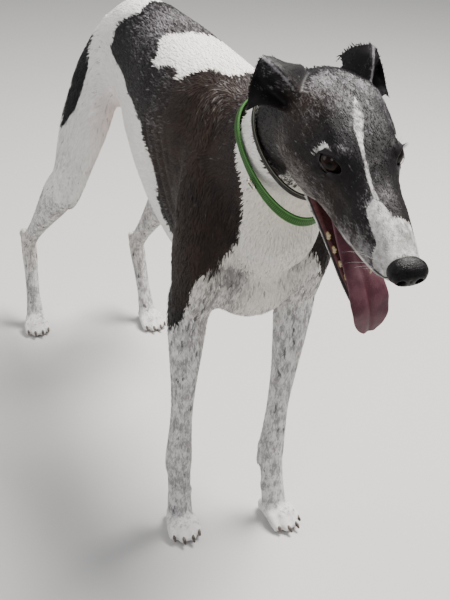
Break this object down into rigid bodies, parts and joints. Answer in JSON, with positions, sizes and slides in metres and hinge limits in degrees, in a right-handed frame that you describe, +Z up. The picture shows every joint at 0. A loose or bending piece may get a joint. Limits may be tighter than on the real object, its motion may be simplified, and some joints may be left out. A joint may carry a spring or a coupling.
{
  "type": "greyhound",
  "caption": "Life-size still model of a standing greyhound with its head low, mouth open and tongue out, wearing two neck straps.",
  "frame": {"origin": "on the floor, under the middle of the dog's box", "axes": "+X towards the head, +Y to the dog's left, +Z up"},
  "size_m": [1.185, 0.2875, 0.8194],
  "materials": {
    "coat_white": "short white fur",
    "coat_ticked": "short white fur with grey flecks",
    "coat_black": "short black fur with a sheen",
    "coat_grey": "short dark grey fur",
    "nose": "moist black leather",
    "eye": "glossy dark brown",
    "mouth": "moist pink lining and lips",
    "tongue": "moist mauve pink",
    "webbing_green": "woven green webbing",
    "strap_dark": "dark strap",
    "metal": "worn plated steel"
  },
  "bodies": {
    "root": {"forepaw_left": "coat_ticked", "forearm_left": "coat_ticked", "shank_left": "coat_ticked", "hindpaw_left": "coat_ticked", "thigh_left": "coat_white", "ear_left": "coat_black", "eye_left": "eye", "shoulder_left": "coat_ticked", "forepaw_right": "coat_ticked", "forearm_right": "coat_ticked", "shank_right": "coat_ticked", "hindpaw_right": "coat_ticked", "thigh_right": "coat_white", "ear_right": "coat_black", "eye_right": "eye", "shoulder_right": "coat_black", "tail": "coat_black", "loin": "coat_black", "chest": "coat_white", "neck": "coat_white", "head": "coat_grey", "nose": "nose", "jaw": "mouth", "tongue": "tongue", "collar_green": "webbing_green", "collar_ring": "metal", "collar_dark": "strap_dark"}
  },
  "joints": []
}
